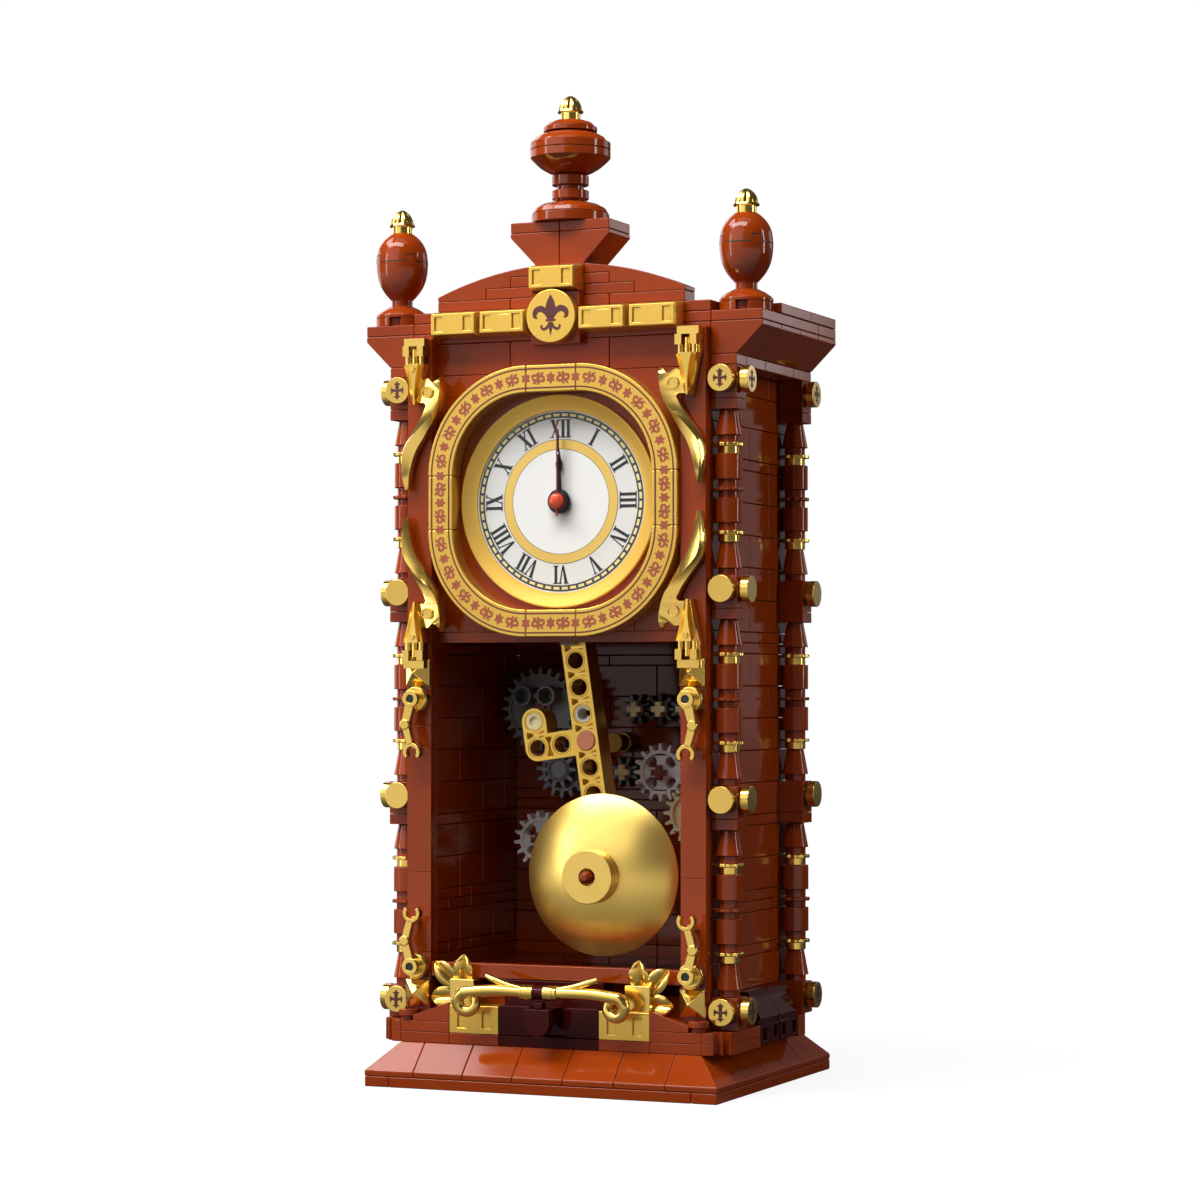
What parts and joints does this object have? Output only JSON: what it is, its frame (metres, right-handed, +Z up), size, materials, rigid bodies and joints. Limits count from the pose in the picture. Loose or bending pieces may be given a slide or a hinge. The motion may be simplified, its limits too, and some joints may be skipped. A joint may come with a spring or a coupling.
{
  "type": "mantel clock",
  "caption": "Mantel clock of interlocking toy bricks: gilt-framed round dial with hands, corner columns, urn finials, and a pendulum that swings before open gears.",
  "frame": {"origin": "middle of the base plate's underside, on the surface that the clock stands on", "axes": "+Z up, the dial faces -Y, +X to the right as seen from the front"},
  "size_m": [0.128, 0.0963, 0.2943],
  "materials": {
    "brown_plastic": "glossy reddish brown",
    "dark_brown_plastic": "glossy dark brown",
    "gold_plastic": "metallic gold",
    "black_plastic": "satin",
    "dark_grey_plastic": "satin",
    "light_grey_plastic": "satin",
    "tan_plastic": "satin",
    "white_plastic": "printed dial face",
    "red_plastic": "satin"
  },
  "bodies": {
    "case": {"base_plate": "brown_plastic", "base_skirt": "brown_plastic", "plinth": "brown_plastic", "side_apron_left": "dark_brown_plastic", "side_apron_right": "dark_brown_plastic", "lower_case": "brown_plastic", "floor_and_sill": "brown_plastic", "wall_left": "brown_plastic", "wall_right": "brown_plastic", "pilaster_left": "brown_plastic", "pilaster_right": "brown_plastic", "apron_panel": "dark_brown_plastic", "apron_block_left": "gold_plastic", "apron_block_right": "gold_plastic", "handle": "gold_plastic", "column_front_left": "brown_plastic", "column_front_right": "brown_plastic", "column_back_left": "brown_plastic", "column_back_right": "brown_plastic", "cornice": "brown_plastic", "roof_tiles": "brown_plastic", "pediment": "brown_plastic", "finial_pedestal": "brown_plastic", "frieze_bars": "gold_plastic", "medallion": "gold_plastic", "finial_globe": "brown_plastic", "finial_bud": "gold_plastic", "urn_left": "brown_plastic", "urn_right": "brown_plastic", "urn_bud_left": "gold_plastic", "urn_bud_right": "gold_plastic", "dial_board": "brown_plastic", "bezel": "gold_plastic", "dial_dish": "gold_plastic", "dial_plate": "white_plastic", "movement": "black_plastic", "scroll_upper_left": "gold_plastic", "scroll_upper_right": "gold_plastic", "scroll_lower_left": "gold_plastic", "scroll_lower_right": "gold_plastic", "hook_arm_upper_left": "gold_plastic", "hook_arm_upper_right": "gold_plastic", "hook_arm_lower_left": "gold_plastic", "hook_arm_lower_right": "gold_plastic", "pivot_pin": "dark_grey_plastic", "back_wall": "brown_plastic"},
    "pendulum": {"pendulum_beam": "gold_plastic", "pendulum_bob": "gold_plastic"},
    "hour_hand": {"hour_hand": "black_plastic"},
    "minute_hand": {"minute_hand": "black_plastic"},
    "second_hand": {"second_hand": "red_plastic"},
    "gear_large": {"gear_large": "dark_grey_plastic"},
    "gear_middle_left": {"gear_middle_left": "dark_grey_plastic"},
    "gear_lower_left": {"gear_lower_left": "light_grey_plastic"},
    "gear_right": {"gear_right": "light_grey_plastic"},
    "pinion_left": {"pinion_left": "black_plastic"},
    "pinion_middle": {"pinion_middle": "black_plastic"},
    "pinion_right": {"pinion_right": "black_plastic"},
    "pinion_side": {"pinion_side": "black_plastic"},
    "gear_tan": {"gear_tan": "tan_plastic"}
  },
  "joints": [
    {"name": "pendulum_swing", "type": "hinge", "parent": "case", "child": "pendulum", "pos_m": [0, -0.019, 0.13385], "axis": [0, 1, 0], "range_deg": [-2.6, 19.4]},
    {"name": "second_hand_turn", "type": "hinge", "parent": "case", "child": "second_hand", "pos_m": [0, -0.034, 0.1728], "axis": [0, 1, 0], "continuous": true},
    {"name": "minute_hand_turn", "type": "hinge", "parent": "case", "child": "minute_hand", "pos_m": [0, -0.033, 0.1728], "axis": [0, 1, 0], "continuous": true},
    {"name": "hour_hand_turn", "type": "hinge", "parent": "case", "child": "hour_hand", "pos_m": [0, -0.032, 0.1728], "axis": [0, 1, 0], "continuous": true},
    {"name": "gear_large_turn", "type": "hinge", "parent": "case", "child": "gear_large", "pos_m": [-0.024, 0.0094, 0.11136], "axis": [0, 1, 0], "continuous": true},
    {"name": "gear_middle_left_turn", "type": "hinge", "parent": "case", "child": "gear_middle_left", "pos_m": [-0.01651, 0.0094, 0.09282], "axis": [0, 1, 0], "continuous": true},
    {"name": "gear_lower_left_turn", "type": "hinge", "parent": "case", "child": "gear_lower_left", "pos_m": [-0.024, 0.0094, 0.07104], "axis": [0, 1, 0], "continuous": true},
    {"name": "pinion_middle_turn", "type": "hinge", "parent": "case", "child": "pinion_middle", "pos_m": [0.016, 0.0094, 0.11136], "axis": [0, 1, 0], "continuous": true},
    {"name": "pinion_left_turn", "type": "hinge", "parent": "case", "child": "pinion_left", "pos_m": [0.008, 0.0094, 0.11136], "axis": [0, 1, 0], "continuous": true},
    {"name": "pinion_right_turn", "type": "hinge", "parent": "case", "child": "pinion_right", "pos_m": [0.024, 0.0094, 0.11136], "axis": [0, 1, 0], "continuous": true},
    {"name": "gear_right_turn", "type": "hinge", "parent": "case", "child": "gear_right", "pos_m": [0.016, 0.0094, 0.09216], "axis": [0, 1, 0], "continuous": true},
    {"name": "pinion_side_turn", "type": "hinge", "parent": "case", "child": "pinion_side", "pos_m": [0.004, 0.0094, 0.09216], "axis": [0, 1, 0], "continuous": true},
    {"name": "gear_tan_turn", "type": "hinge", "parent": "case", "child": "gear_tan", "pos_m": [0.02585, 0.0094, 0.07955], "axis": [0, 1, 0], "continuous": true}
  ],
  "couplings": [
    {"joint": "minute_hand_turn", "follows": "second_hand_turn", "ratio": 0.016667},
    {"joint": "hour_hand_turn", "follows": "second_hand_turn", "ratio": 0.0013889},
    {"joint": "gear_middle_left_turn", "follows": "gear_large_turn", "ratio": -1.5},
    {"joint": "pinion_left_turn", "follows": "pinion_middle_turn", "ratio": -1},
    {"joint": "pinion_right_turn", "follows": "pinion_middle_turn", "ratio": -1},
    {"joint": "pinion_side_turn", "follows": "gear_right_turn", "ratio": -2},
    {"joint": "gear_tan_turn", "follows": "gear_right_turn", "ratio": -1}
  ]
}
